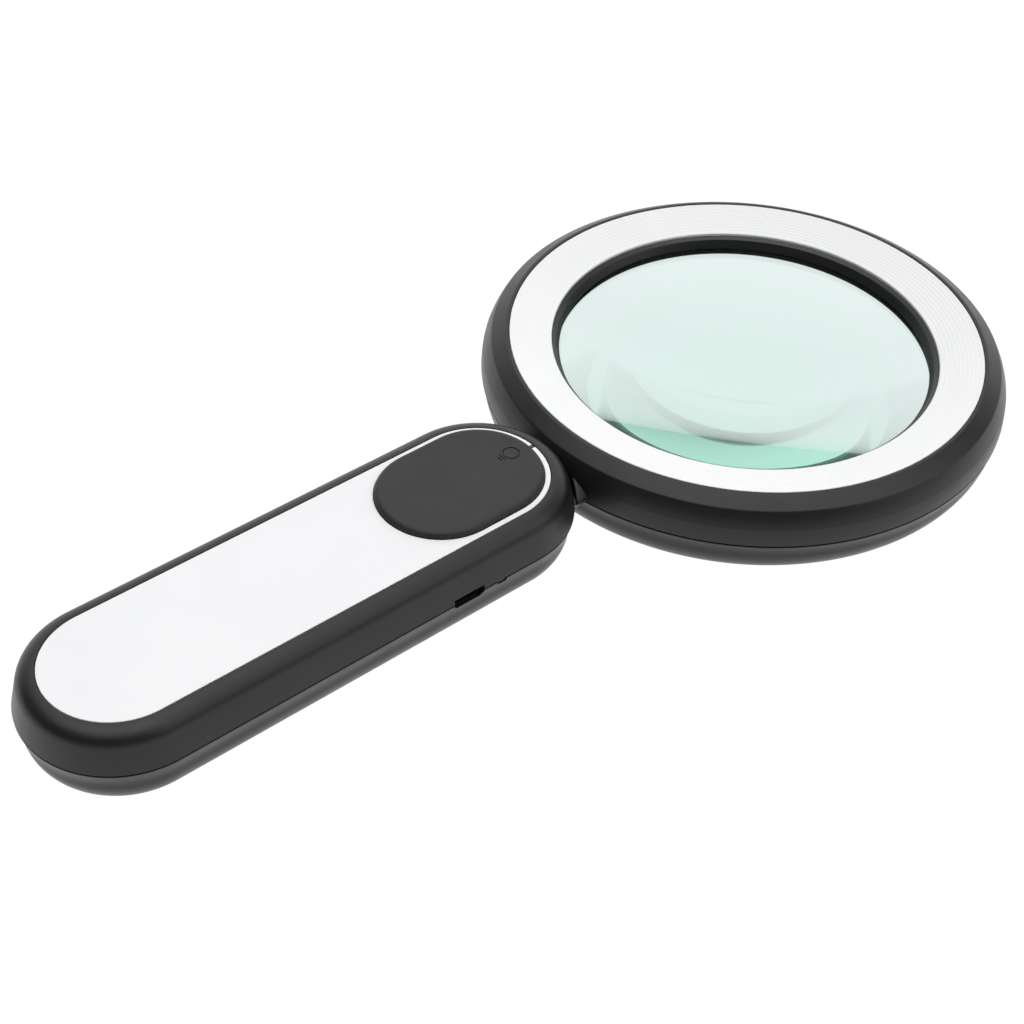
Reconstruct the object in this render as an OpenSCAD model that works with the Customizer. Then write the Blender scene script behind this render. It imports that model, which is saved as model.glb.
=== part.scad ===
// Lighted hand magnifier: a round lens head with a ring light, on a straight
// round-ended handle that holds the battery, the control board and the key.
// Millimetres. +X runs from the handle to the head, +Z points out of the lit face.
// The origin is the middle of the object's outline, on the plane that it rests on.

/* [Overall] */
// Thickness of the head and of the handle, without the raised key
thickness = 20; // [19.6:0.1:21]
// Wall of the moulded shells
wall = 1.8; // [1.6:0.1:2]

/* [Handle] */
// Distance between the centres of the handle's two round ends
grip_spine = 86.4; // [84:0.2:100]
// Half of the handle's width where its shells meet
grip_half_w = 20.4; // [20.3:0.1:20.7]
// Height of the line where the handle's shells meet
grip_split_z = 11.2; // [11:0.1:11.4]
// Half of the white faceplate's width
plate_half_w = 15; // [14.8:0.1:15.1]
// Thickness of the faceplate
plate_t = 1.5; // [1.4:0.1:1.6]

/* [Key] */
// Half of the key's width
key_half_w = 13.65; // [13.5:0.05:13.7]
// Straight length between the key's two round ends
key_spine = 10.15; // [8:0.05:12]
// How far the key stands above the faceplate
key_rise = 1.3; // [1:0.1:1.6]
// How far the key travels
key_travel = 0.6; // [0.4:0.1:0.7]

/* [Head] */
// Distance from the handle's front round end's centre to the lens axis
head_reach = 78.3; // [78.1:0.1:78.6]
// Outer radius of the head where its shells meet
head_r = 59.9; // [59.8:0.1:60.2]
// Height of the line where the head's shells meet
head_split_z = 10.1; // [10:0.1:10.2]
// Outer radius of the white diffuser ring
ring_r = 53.7; // [53.5:0.1:53.8]
// Inner radius of the white diffuser ring
ring_inner_r = 44.05; // [43.9:0.05:44.2]
// Clear radius of the lens
clear_r = 42.2; // [42:0.1:42.5]
// Number of fine grooves in the diffuser ring
ring_grooves = 9; // [6:1:12]
// Number of light-emitting diodes under the ring
led_count = 24; // [12:2:30]

/* [Lens] */
// Radius of the lens blank
lens_r = 45; // [44.8:0.1:45.1]
// Radius of curvature of the lens's upper face
lens_top_curve = 218; // [210:2:260]
// Radius of curvature of the lens's lower face
lens_base_curve = 252; // [240:4:320]
// Thickness of the lens at its edge
lens_edge = 3.6; // [3.2:0.1:3.8]

/* [Hidden] */
$fn = 96;
fine_fn = 1440;
eps = 0.02;
big = 400;

// Places along X
total_length = grip_spine + head_reach + head_r + grip_half_w;
head_x = total_length / 2 - head_r;
front_x = head_x - head_reach;
rear_x = front_x - grip_spine;

// Handle section: a rounded base, nearly upright flanks and a rounded shoulder
grip_base_w = grip_half_w - 1.1;
grip_base_r = 7.5;
grip_top_w = grip_half_w - 1.6;
grip_top_r = 4.2;
plate_gap = 0.12;
plate_z = thickness - plate_t;
ceiling_z = plate_z - 1.5;

// Key and switch stack
key_x0 = front_x - key_spine + 0.1;
key_x1 = front_x + 0.1;
key_x = (key_x0 + key_x1) / 2;
key_gap = 0.15;
key_edge_r = 1.2;
key_top_z = thickness + key_rise;
key_base_z = plate_z - 0.2;
flange_w = key_half_w + 0.85;
flange_t = 0.6;
flange_z = key_base_z - flange_t;
pocket_w = flange_w + 0.3;
pocket_z = flange_z - key_travel - 0.5;
pocket_floor_t = 1.4;
stem_r = 2.5;
guide_r = 1.5;
guide_dx = 10;
guide_hole_gap = 0.2;
icon_x = front_x + 8.75;
icon_r = 2;
icon_line = 0.35;
icon_depth = 0.35;
dish_r = 3.6;
dish_depth = 0.12;

// Charging port and control board
port_x = front_x - 18.6;
port_w = 7.5;
port_h = 2.5;
port_z = grip_split_z - 0.15;
port_chamfer = 0.9;
port_mouth_y = -grip_half_w + 1.3;
port_depth = 5.6;
port_gap = 0.08;
board_t = 1.2;
board_z = port_z - port_h / 2 - board_t;
board_top = board_z + board_t;
board_x0 = front_x - 30.2;
board_x1 = front_x + 3.8;
board_half_w = 11;
tongue_half_w = 3.4;
switch_w = 6;
switch_h = 3.5;
plunger_r = 1.7;
plunger_z = board_top + switch_h + 0.7;

// Indicators
pipe_x = (key_x1 + key_half_w + front_x + plate_half_w) / 2 + 0.05;
pipe_w = 1.1;
pipe_l = 1.5;
pipe_gap = 0.1;
window_x = front_x - 10.1;
window_w = 2.3;
window_h = 1.05;

// Battery
cell_r = 7;
cell_l = 49;
cell_z = wall + 0.8 + cell_r;
cell_x0 = rear_x - 2;
cell_x1 = cell_x0 + cell_l;

// Screws
screw_r = 1.1;
screw_gap = 0.05;
screw_head_r = 1.9;
screw_head_h = 1.4;
recess_r = 2.3;
recess_z = 3.2;
boss_r = 3;
grip_screws = [
    [rear_x - 10, 0],
    [rear_x + 52, 12.5], [rear_x + 52, -12.5],
    [front_x + 8, 11.5], [front_x + 8, -11.5]
];
grip_screw_top = ceiling_z - 2.5;

// Neck: a short stub of the handle's shells that reaches into the head
neck_half_w = 11.9;
neck_top_z = thickness - 3.9;
neck_base_z = 4;
neck_r = grip_half_w + 0.9;
neck_core_half_w = 9.6;
neck_core_z = [5.2, neck_top_z - 2.4];
neck_end_r = head_r - 3.6;
duct_half_w = 8;
duct_z = [6.6, 12.2];
bracket_t = 1.5;
bracket_x = [front_x + 9.5, head_x - head_r + 9.2];
bracket_screws_x = [front_x + 12.4, head_x - head_r + 6.4];
bracket_screw_y = 5.4;

// Head section
head_base_w = head_r - 0.9;
head_base_r = 7.5;
flank_r = 16;
bevel_z = head_split_z + flank_r / 2;
bevel_r = head_r - flank_r + flank_r * cos(30);
rim_r = ring_r + 0.9;
ring_gap = 0.12;
ring_t = 1.5;
ring_inner_z = thickness - 2.15;
ring_seat_z = thickness - 1.8;
lens_top_z = thickness - 5.9;
lens_base_z = lens_top_z - lens_edge;
top_sag = sag(lens_top_curve, lens_r);
base_sag = sag(lens_base_curve, lens_r);
seat_z = lens_base_z - base_sag + sag(lens_base_curve, clear_r) - eps / 2;
clamp_z = lens_top_z + top_sag - sag(lens_top_curve, clear_r) + eps / 2;
bezel_lip = [clear_r + 0.85, ring_inner_z - 1.15];
bezel_land = 0.3;
gasket_t = 0.5;
seat_r = lens_r + gasket_t + 0.05;
seat_wall = 1.6;
flare_r = ring_inner_r + 5.8;
flare_z = 0.8;
flare_wall = 1.8;
land_r = flare_r + 0.4;
led_board_r = [ring_inner_r + 3.65, ring_inner_r + 7.35];
led_board_t = 1.2;
led_board_z = board_top - led_board_t;
led_r = (led_board_r[0] + led_board_r[1]) / 2;
head_screw_count = 6;
head_screw_pcr = ring_r + 0.6;
head_screw_a0 = 30;
head_boss_r = 2.7;
head_recess_r = 2.1;
head_screw_top = thickness - 5.2;
led_screw_count = 3;
led_screw_a0 = 180 / led_count;

// ---- Shared shapes ----

// A block from one corner to the opposite one
module block(low, high) {
    translate(low) cube(high - low);
}

// Everything above or below a height
module above(z) {
    block([-big, -big, z], [big, big, z + big]);
}
module below(z) {
    block([-big, -big, z - big], [big, big, z]);
}

// An upright cylinder between two heights
module post(x, y, r, z0, z1) {
    translate([x, y, z0]) cylinder(h = z1 - z0, r = r);
}

// An upright tube between two heights
module tube(x, y, r_out, r_in, z0, z1) {
    difference() {
        post(x, y, r_out, z0, z1);
        post(x, y, r_in, z0 - 1, z1 + 1);
    }
}

// A cylinder that lies along X
module rod(x0, x1, y, z, r) {
    translate([x0, y, z]) rotate([0, 90, 0]) cylinder(h = x1 - x0, r = r);
}

// An upright round-ended bar between two end centres on the X axis
module bar(x0, x1, half_w, z0, z1) {
    post(x0, 0, half_w, z0, z1);
    post(x1, 0, half_w, z0, z1);
    block([x0, -half_w, z0], [x1, half_w, z1]);
}

// A half section swept round a bar's outline
module sweep(x0, x1) {
    translate([x0, 0, 0]) rotate_extrude() children();
    translate([x1, 0, 0]) rotate_extrude() children();
    translate([x0, 0, 0]) rotate([90, 0, 90]) linear_extrude(x1 - x0) {
        children();
        mirror([1, 0]) children();
    }
}

// A half section turned about the lens axis
module lathe() {
    translate([head_x, 0, 0]) rotate_extrude() children();
}

// Copies on a circle about the lens axis
module around(count, r, start = 0) {
    for (i = [0 : count - 1])
        translate([head_x, 0, 0]) rotate([0, 0, start + i * 360 / count])
            translate([r, 0, 0]) children();
}

// A screw standing head down, from its recess up
module screw(x, y, z0, z1) {
    difference() {
        union() {
            post(x, y, screw_head_r, z0, z0 + screw_head_h);
            post(x, y, screw_r, z0, z1);
        }
        block([x - 1.3, y - 0.25, z0 - 1], [x + 1.3, y + 0.25, z0 + 0.7]);
        block([x - 0.25, y - 1.3, z0 - 1], [x + 0.25, y + 1.3, z0 + 0.7]);
    }
}

// A small screw standing head up
module top_screw(x, y, z_head, length) {
    difference() {
        union() {
            post(x, y, 1.5, z_head, z_head + 1.1);
            post(x, y, 0.8, z_head - length, z_head + 0.5);
        }
        block([x - 1.1, y - 0.2, z_head + 0.5], [x + 1.1, y + 0.2, z_head + 2]);
        block([x - 0.2, y - 1.1, z_head + 0.5], [x + 0.2, y + 1.1, z_head + 2]);
    }
}

// ---- Handle sections ----

module grip_section(inset = 0) {
    base_x = grip_base_w - grip_base_r;
    top_x = grip_top_w - grip_top_r;
    polygon([
        [0, inset], [base_x, inset], [grip_base_w - inset, grip_base_r],
        [grip_half_w - inset, grip_split_z],
        [grip_top_w - inset, thickness - grip_top_r],
        [top_x, thickness - inset], [0, thickness - inset]
    ]);
    translate([base_x, grip_base_r]) circle(grip_base_r - inset);
    translate([top_x, thickness - grip_top_r]) circle(grip_top_r - inset);
}

// Neck section: two shallow arcs that meet in a short upright side
module neck_section() {
    top_h = neck_top_z - grip_split_z;
    base_h = grip_split_z - neck_base_z;
    half_w = neck_half_w + 0.4;
    top_r = (half_w * half_w + top_h * top_h) / (2 * top_h);
    base_r = (half_w * half_w + base_h * base_h) / (2 * base_h);
    intersection() {
        translate([0, neck_top_z - top_r]) circle(top_r, $fn = 240);
        translate([0, neck_base_z + base_r]) circle(base_r, $fn = 240);
        translate([-neck_half_w, 0]) square([2 * neck_half_w, thickness]);
    }
}

// The neck's outside, hollowed to follow the handle's round end
module neck_outside() {
    difference() {
        translate([front_x + 8, 0, 0]) rotate([90, 0, 90])
            linear_extrude(head_x - neck_end_r - front_x - 8) neck_section();
        post(front_x, 0, neck_r, -1, thickness + 1);
    }
}

module neck_core() {
    block([front_x + 10, -neck_core_half_w, neck_core_z[0]],
          [head_x - neck_end_r, neck_core_half_w, neck_core_z[1]]);
}

module neck_duct() {
    block([front_x + 9, -duct_half_w, duct_z[0]],
          [head_x - neck_end_r + 1, duct_half_w, duct_z[1]]);
}

// What the head's shells leave free for the neck and the handle's round end
module neck_opening() {
    neck_outside();
    neck_core();
    post(front_x, 0, neck_r, -1, thickness + 1);
}

// The port's outline, wide above and cut off at its lower corners
module port_outline(gap = 0) {
    w = port_w / 2 + gap;
    h = port_h / 2 + gap;
    polygon([[-w, h], [-w, -h + port_chamfer], [-w + port_chamfer, -h],
             [w - port_chamfer, -h], [w, -h + port_chamfer], [w, h]]);
}

module port_hole(gap, y0, y1) {
    translate([port_x, y1, port_z]) rotate([90, 0, 0])
        linear_extrude(y1 - y0) port_outline(gap);
}

module window_hole(gap, y0, y1) {
    block([window_x - window_w / 2 - gap, y0, grip_split_z - window_h - gap],
          [window_x + window_w / 2 + gap, y1, grip_split_z + gap]);
}

module key_pocket_holes() {
    post(key_x, 0, stem_r + 0.4, pocket_z - 4, pocket_z + 1);
    for (side = [-1, 1])
        post(key_x + side * guide_dx, 0, guide_r + guide_hole_gap, pocket_z - 4, pocket_z + 1);
}

// A slot round the light pipe, longer at both ends where it cuts through a strip
module pipe_hole(longer, top) {
    reach = pipe_w / 2 + pipe_gap + longer;
    block([pipe_x - reach, -pipe_l / 2 - pipe_gap, board_top + 1],
          [pipe_x + reach, pipe_l / 2 + pipe_gap, top]);
}

// ---- Handle ----

module handle_top_shell() {
    color([0.16, 0.16, 0.17]) difference() {
        union() {
            difference() {
                sweep(rear_x, front_x) grip_section();
                intersection() {
                    sweep(rear_x, front_x) grip_section(wall);
                    below(ceiling_z);
                }
            }
            // solid bed under the key's pocket
            intersection() {
                sweep(rear_x, front_x) grip_section(wall / 2);
                block([key_x0 - pocket_w - wall, -big, pocket_z - pocket_floor_t],
                      [big, big, ceiling_z + eps]);
            }
            for (p = grip_screws)
                intersection() {
                    post(p[0], p[1], boss_r, grip_split_z, ceiling_z + eps);
                    sweep(rear_x, front_x) grip_section(wall / 2);
                }
            difference() {
                union() {
                    neck_outside();
                    neck_core();
                }
                post(front_x, 0, grip_half_w - wall, -1, ceiling_z);
            }
        }
        below(grip_split_z);
        neck_duct();
        bar(rear_x, front_x, plate_half_w + plate_gap, plate_z, thickness + 1);
        bar(key_x0, key_x1, pocket_w, pocket_z, plate_z + eps);
        key_pocket_holes();
        pipe_hole(0, plate_z + eps);
        port_hole(port_gap, -big, port_mouth_y + port_depth + 1);
        for (p = grip_screws)
            post(p[0], p[1], screw_r + screw_gap, 0, grip_screw_top);
    }
}

module handle_bottom_shell() {
    color([0.16, 0.16, 0.17]) difference() {
        union() {
            difference() {
                sweep(rear_x, front_x) grip_section();
                sweep(rear_x, front_x) grip_section(wall);
            }
            for (p = grip_screws)
                intersection() {
                    post(p[0], p[1], boss_r, wall / 2, grip_split_z);
                    sweep(rear_x, front_x) grip_section(wall / 2);
                }
            // posts under the board and the bracket
            for (p = board_screw_places())
                post(p[0], p[1], 2.2, wall / 2, board_z);
            for (side = [-1, 1])
                post(bracket_screws_x[0], side * bracket_screw_y, 2.1, wall / 2, duct_z[0]);
            difference() {
                union() {
                    neck_outside();
                    neck_core();
                }
                post(front_x, 0, grip_half_w - wall, -1, thickness);
            }
        }
        above(grip_split_z);
        neck_duct();
        port_hole(port_gap, -big, port_mouth_y + port_depth + 1);
        window_hole(eps, -big, -grip_half_w + wall + 1.4);
        for (p = grip_screws) {
            post(p[0], p[1], screw_r + screw_gap, -1, thickness);
            post(p[0], p[1], recess_r, -1, recess_z);
        }
        for (p = board_screw_places())
            post(p[0], p[1], 0.8 + screw_gap, board_z - 4, thickness);
        for (side = [-1, 1])
            post(bracket_screws_x[0], side * bracket_screw_y, 0.8 + screw_gap,
                 duct_z[0] - 4, thickness);
    }
}

module handle_faceplate() {
    color([0.95, 0.95, 0.96]) difference() {
        bar(rear_x, front_x, plate_half_w, plate_z, thickness);
        bar(key_x0, key_x1, key_half_w + key_gap, plate_z - 1, thickness + 1);
        pipe_hole(1, thickness + 1);
    }
}

module handle_screws() {
    color([0.7, 0.7, 0.72])
        for (p = grip_screws)
            screw(p[0], p[1], recess_z - screw_head_h, grip_screw_top - 0.5);
}

// ---- Key and switch ----

module key_section() {
    polygon([[0, key_base_z], [key_half_w, key_base_z],
             [key_half_w, key_top_z - key_edge_r],
             [key_half_w - key_edge_r, key_top_z], [0, key_top_z]]);
    translate([key_half_w - key_edge_r, key_top_z - key_edge_r]) circle(key_edge_r);
}

module bulb_icon() {
    tube(icon_x, 0, icon_r, icon_r - icon_line, key_top_z - icon_depth, key_top_z + 1);
    for (i = [0 : 1]) {
        x = icon_x - icon_r - 0.5 - i * 0.75;
        half_l = 0.95 - i * 0.3;
        block([x - icon_line, -half_l, key_top_z - icon_depth], [x, half_l, key_top_z + 1]);
    }
}

module power_key() {
    color([0.27, 0.27, 0.28]) difference() {
        union() {
            sweep(key_x0, key_x1) key_section();
            bar(key_x0, key_x1, flange_w, flange_z, key_base_z + eps);
            post(key_x, 0, stem_r, plunger_z, flange_z + eps);
            for (side = [-1, 1])
                post(key_x + side * guide_dx, 0, guide_r, pocket_z - 1.2, flange_z + eps);
        }
        post(icon_x, 0, dish_r, key_top_z - dish_depth, key_top_z + 1);
        bulb_icon();
        pipe_hole(0, key_base_z + eps);
    }
}

module key_return_pad() {
    color([0.75, 0.76, 0.74])
        tube(key_x, 0, 6.5, stem_r + 0.8, pocket_z, flange_z);
}

module switch_body() {
    color([0.1, 0.1, 0.1]) difference() {
        block([key_x - switch_w / 2, -switch_w / 2, board_top],
              [key_x + switch_w / 2, switch_w / 2, board_top + switch_h]);
        post(key_x, 0, plunger_r + 0.1, board_top + 1.6, board_top + switch_h + 1);
    }
}

module switch_plunger() {
    color([0.85, 0.83, 0.78])
        post(key_x, 0, plunger_r, board_top + 2.5, plunger_z);
}

module indicator_light_pipe() {
    color([0.8, 0.85, 0.85])
        block([pipe_x - pipe_w / 2, -pipe_l / 2, board_top + 1.2],
              [pipe_x + pipe_w / 2, pipe_l / 2, thickness - 0.1]);
}

module indicator_led() {
    color([0.95, 0.92, 0.7])
        block([pipe_x - 0.8, -0.6, board_top], [pipe_x + 0.8, 0.6, board_top + 0.9]);
}

// ---- Control board ----

function board_screw_places() = [[board_x0 + 3.2, 5], [board_x0 + 3.2, -5]];

module control_board() {
    color([0.1, 0.35, 0.2]) difference() {
        union() {
            block([board_x0, -board_half_w, board_z], [board_x1, board_half_w, board_top]);
            block([port_x - 5, -grip_half_w + 3.4, board_z], [window_x + 2.4, 0, board_top]);
            block([board_x1 - 1, -tongue_half_w, board_z],
                  [pipe_x + 1.6, tongue_half_w, board_top]);
        }
        for (p = board_screw_places())
            post(p[0], p[1], 0.8 + screw_gap, board_z - 1, board_top + 1);
    }
}

module board_screws() {
    color([0.7, 0.7, 0.72])
        for (p = board_screw_places())
            top_screw(p[0], p[1], board_top, 4.5);
}

module board_components() {
    color([0.08, 0.08, 0.08]) {
        block([port_x - 2.5, 1, board_top], [port_x + 2.5, 6, board_top + 1.2]);
        block([port_x - 2, -6.5, board_top], [port_x + 2, -2.5, board_top + 1.5]);
    }
    color([0.7, 0.62, 0.5])
        for (i = [0 : 4])
            block([board_x0 + 9 + i * 4.2, 8, board_top],
                  [board_x0 + 10 + i * 4.2, 9.8, board_top + 0.7]);
    color([0.7, 0.7, 0.72])
        post(board_x1 - 6, -6.5, 2, board_top, board_top + 2.6);
}

module usb_shell() {
    color([0.72, 0.73, 0.75]) difference() {
        port_hole(0, port_mouth_y, port_mouth_y + port_depth);
        port_hole(-0.3, port_mouth_y - 1, port_mouth_y + port_depth - 0.5);
    }
}

module usb_tongue() {
    color([0.12, 0.12, 0.12])
        block([port_x - 2, port_mouth_y + 1, port_z + 0.2],
              [port_x + 2, port_mouth_y + port_depth - 0.5, port_z + 0.75]);
}

module charge_window() {
    color([0.25, 0.26, 0.27])
        window_hole(-0.04, -grip_half_w + 0.5, -grip_half_w + wall + 0.6);
}

module charge_led() {
    color([0.9, 0.85, 0.75])
        block([window_x - 0.8, -grip_half_w + 3.5, board_top],
              [window_x + 0.8, -grip_half_w + 4.7, board_top + 0.9]);
}

// ---- Battery ----

module battery_cell() {
    color([0.2, 0.4, 0.7]) rod(cell_x0, cell_x1, 0, cell_z, cell_r);
}

module battery_tabs() {
    color([0.8, 0.8, 0.78]) {
        block([cell_x0 - 0.5, -4, cell_z - 3], [cell_x0, 8.8, cell_z + 3]);
        block([cell_x1, -4.8, cell_z - 3], [cell_x1 + 0.5, 4, cell_z + 3]);
    }
}

module battery_cradle() {
    color([0.2, 0.2, 0.2]) difference() {
        union() {
            for (x = [cell_x0 + 9, cell_x1 - 15])
                block([x, -9, wall], [x + 6, 9, cell_z - 2.5]);
            block([cell_x0 + 9, -2, wall], [cell_x1 - 9, 2, cell_z - cell_r + 0.5]);
        }
        rod(cell_x0, cell_x1, 0, cell_z, cell_r);
    }
}

module battery_leads() {
    lead_z = board_top + 0.6;
    color([0.75, 0.1, 0.1]) rod(cell_x1 + 0.5, board_x0 + 5, -1.5, lead_z, 0.6);
    color([0.08, 0.08, 0.08]) rod(cell_x0, board_x0 + 5, 8.2, lead_z, 0.6);
}

// ---- Neck fixing and leads ----

module neck_bracket() {
    color([0.75, 0.75, 0.77]) difference() {
        block([bracket_x[0], -duct_half_w + 0.5, duct_z[0]],
              [bracket_x[1], duct_half_w - 0.5, duct_z[0] + bracket_t]);
        for (x = bracket_screws_x, side = [-1, 1])
            post(x, side * bracket_screw_y, 0.8 + screw_gap, duct_z[0] - 1, duct_z[0] + 4);
    }
}

module bracket_screws() {
    color([0.7, 0.7, 0.72])
        for (x = bracket_screws_x, side = [-1, 1])
            top_screw(x, side * bracket_screw_y, duct_z[0] + bracket_t, 5);
}

module led_leads() {
    for (side = [-1, 1])
        color([0.8, 0.8, 0.75])
            rod(board_x1 + 1, head_x - led_board_r[1] + 1.2, side * 2, board_top + 0.6, 0.6);
}

// ---- Head ----

// Outer outline of the head, solid to the axis
module head_section(inset = 0) {
    base_x = head_base_w - head_base_r;
    flank_x = head_r - flank_r;
    top = thickness - inset;
    lean = (bevel_r - rim_r) / (thickness - bevel_z);
    rim_x = rim_r + lean * inset - inset * sqrt(1 + lean * lean);
    polygon([
        [0, inset], [base_x, inset], [head_base_w - inset, head_base_r],
        [head_r - inset, head_split_z], [rim_x, top], [0, top]
    ]);
    translate([base_x, head_base_r]) circle(head_base_r - inset);
    // the round flank, cut off by the bevel
    intersection() {
        translate([flank_x, head_split_z]) circle(flank_r - inset, $fn = 360);
        polygon([[flank_x, head_split_z], [rim_x + lean * (top - head_split_z), head_split_z],
                 [rim_x, top], [flank_x, top]]);
    }
}

module head_top_shell() {
    color([0.16, 0.16, 0.17]) difference() {
        union() {
            difference() {
                lathe() head_section();
                intersection() {
                    lathe() head_section(wall);
                    below(ring_seat_z - 1.4);
                }
            }
            intersection() {
                around(head_screw_count, head_screw_pcr, head_screw_a0)
                    cylinder(h = ring_seat_z - 1, r = head_boss_r);
                lathe() head_section(wall / 2);
            }
        }
        below(head_split_z);
        // the ring's opening and the ledge that it sits on
        post(head_x, 0, ring_r + ring_gap, ring_seat_z, thickness + 1);
        post(head_x, 0, ring_r - 1.2, head_split_z - 1, thickness + 1);
        neck_opening();
        around(head_screw_count, head_screw_pcr, head_screw_a0)
            cylinder(h = head_screw_top, r = screw_r + screw_gap);
    }
}

module head_bottom_shell() {
    color([0.16, 0.16, 0.17]) difference() {
        union() {
            difference() {
                lathe() head_section();
                difference() {
                    lathe() head_section(wall);
                    post(head_x, 0, seat_r + seat_wall, -1, thickness);
                    lathe() flare_section();
                }
            }
            lathe() seat_section();
            intersection() {
                around(head_screw_count, head_screw_pcr, head_screw_a0)
                    cylinder(h = head_split_z, r = head_boss_r);
                lathe() head_section(wall / 2);
            }
            for (side = [-1, 1])
                post(bracket_screws_x[1], side * bracket_screw_y, 2.1, wall / 2, duct_z[0]);
            around(led_screw_count, led_r, led_screw_a0)
                translate([0, 0, wall / 2]) cylinder(h = led_board_z - wall / 2, r = 1.8);
        }
        // keep the outer wall below the split and the lens seat above it
        difference() {
            above(head_split_z);
            post(head_x, 0, seat_r + seat_wall, -1, thickness);
        }
        above(clamp_z);
        lathe() bore_section();
        neck_opening();
        around(head_screw_count, head_screw_pcr, head_screw_a0) {
            cylinder(h = thickness, r = screw_r + screw_gap);
            translate([0, 0, -1]) cylinder(h = recess_z + 1, r = head_recess_r);
        }
        for (side = [-1, 1])
            post(bracket_screws_x[1], side * bracket_screw_y, 0.8 + screw_gap,
                 duct_z[0] - 4, thickness);
        around(led_screw_count, led_r, led_screw_a0)
            translate([0, 0, led_board_z - 4]) cylinder(h = 5, r = 0.8 + screw_gap);
    }
}

// The cone behind the flared rear opening
module flare_section() {
    polygon([[0, 0], [flare_r + flare_wall, 0], [flare_r + flare_wall, flare_z],
             [clear_r + flare_wall, seat_z - 0.6], [0, seat_z - 0.6]]);
}

// The wall round the lens
module seat_section() {
    polygon([[clear_r, seat_z - 2], [seat_r + seat_wall, seat_z - 2],
             [seat_r + seat_wall, clamp_z], [clear_r, clamp_z]]);
}

// The flared rear opening, the clear bore and the lens's own seat
module bore_section() {
    polygon([[0, -1], [land_r, -1], [land_r, 0], [flare_r, flare_z],
             [clear_r, seat_z - 0.6], [clear_r, seat_z],
             [seat_r, seat_z], [seat_r, thickness], [0, thickness]]);
}

module head_screws() {
    color([0.7, 0.7, 0.72])
        around(head_screw_count, head_screw_pcr, head_screw_a0)
            screw(0, 0, recess_z - screw_head_h, head_screw_top - 0.5);
}

// ---- Light and lens ----

// Height of the ring's dished face at a radius
function ring_face_z(r) =
    ring_inner_z + (thickness - ring_inner_z) * (r - ring_inner_r) / (ring_r - ring_inner_r);

// The dished face with its fine grooves, from the inside out
function ring_face_points() =
    let (pitch = (ring_r - ring_inner_r - 1.2) / ring_grooves, groove_w = 0.3, groove_d = 0.12)
    [for (i = [0 : ring_grooves - 1], step = [0 : 3])
        let (r = ring_inner_r + 0.9 + i * pitch + (step < 2 ? 0 : groove_w))
        [r, ring_face_z(r) - (step == 1 || step == 2 ? groove_d : 0)]];

module diffuser_ring() {
    color([0.94, 0.94, 0.95]) lathe()
        polygon(concat(
            [[ring_inner_r, ring_inner_z]], ring_face_points(), [[ring_r, thickness]],
            [[ring_r, ring_seat_z], [ring_r - 1.4, ring_seat_z],
             [ring_r - 1.4, ring_seat_z - 1], [ring_r - 2.6, ring_seat_z - 1],
             [ring_inner_r + 1.6, ring_inner_z - ring_t], [ring_inner_r, ring_inner_z - 0.6]]));
}

// How far a face of a given radius of curvature falls between its middle and r
function sag(curve, r) = curve - sqrt(curve * curve - r * r);

module lens_bezel() {
    color([0.12, 0.12, 0.13]) lathe()
        polygon([[clear_r, clamp_z], [clear_r, clamp_z + bezel_land], bezel_lip,
                 [ring_inner_r, ring_inner_z - 0.6], [ring_inner_r + 1.6, ring_inner_z - ring_t],
                 [ring_inner_r + 3.1, ring_inner_z - ring_t], [ring_inner_r + 3.1, clamp_z]]);
}

module lens() {
    top_c = lens_top_z + top_sag - lens_top_curve;
    base_c = lens_base_z - base_sag + lens_base_curve;
    color([0.8, 0.92, 0.88, 0.5]) lathe() intersection() {
        translate([0, top_c]) circle(lens_top_curve, $fn = fine_fn);
        translate([0, base_c]) circle(lens_base_curve, $fn = fine_fn);
        square([lens_r, thickness * 2]);
    }
}

module lens_gasket() {
    color([0.9, 0.9, 0.9])
        tube(head_x, 0, lens_r + gasket_t, lens_r, seat_z, clamp_z);
}

module led_board() {
    color([0.9, 0.9, 0.88]) difference() {
        tube(head_x, 0, led_board_r[1], led_board_r[0], led_board_z, led_board_z + led_board_t);
        around(led_screw_count, led_r, led_screw_a0)
            translate([0, 0, led_board_z - 1]) cylinder(h = 4, r = 0.8 + screw_gap);
    }
}

module leds() {
    color([0.95, 0.9, 0.6])
        around(led_count, led_r)
            block([-1.4, -1.1, led_board_z + led_board_t],
                  [1.4, 1.1, led_board_z + led_board_t + 0.8]);
}

module led_board_screws() {
    color([0.7, 0.7, 0.72])
        around(led_screw_count, led_r, led_screw_a0)
            top_screw(0, 0, led_board_z + led_board_t, 3);
}

// ---- Output ----

handle_top_shell();
handle_bottom_shell();
handle_faceplate();
handle_screws();
power_key();
key_return_pad();
switch_body();
switch_plunger();
indicator_light_pipe();
indicator_led();
control_board();
board_components();
board_screws();
usb_shell();
usb_tongue();
charge_window();
charge_led();
battery_cell();
battery_tabs();
battery_cradle();
battery_leads();
neck_bracket();
bracket_screws();
led_leads();
head_top_shell();
head_bottom_shell();
head_screws();
diffuser_ring();
lens_bezel();
lens();
lens_gasket();
led_board();
leds();
led_board_screws();
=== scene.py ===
"""Looks of a lighted hand magnifier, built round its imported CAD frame.

The visible mouldings, the lens and its ring are rebuilt here as smooth meshes with
rounded edges. Everything inside the shells stays as the CAD made it and gets a material.
Outlines are in millimetres, in the CAD's axes: +X towards the head, +Z out of the lit face.
"""

import math

import bmesh
import bpy
from mathutils import Matrix, Vector


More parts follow.
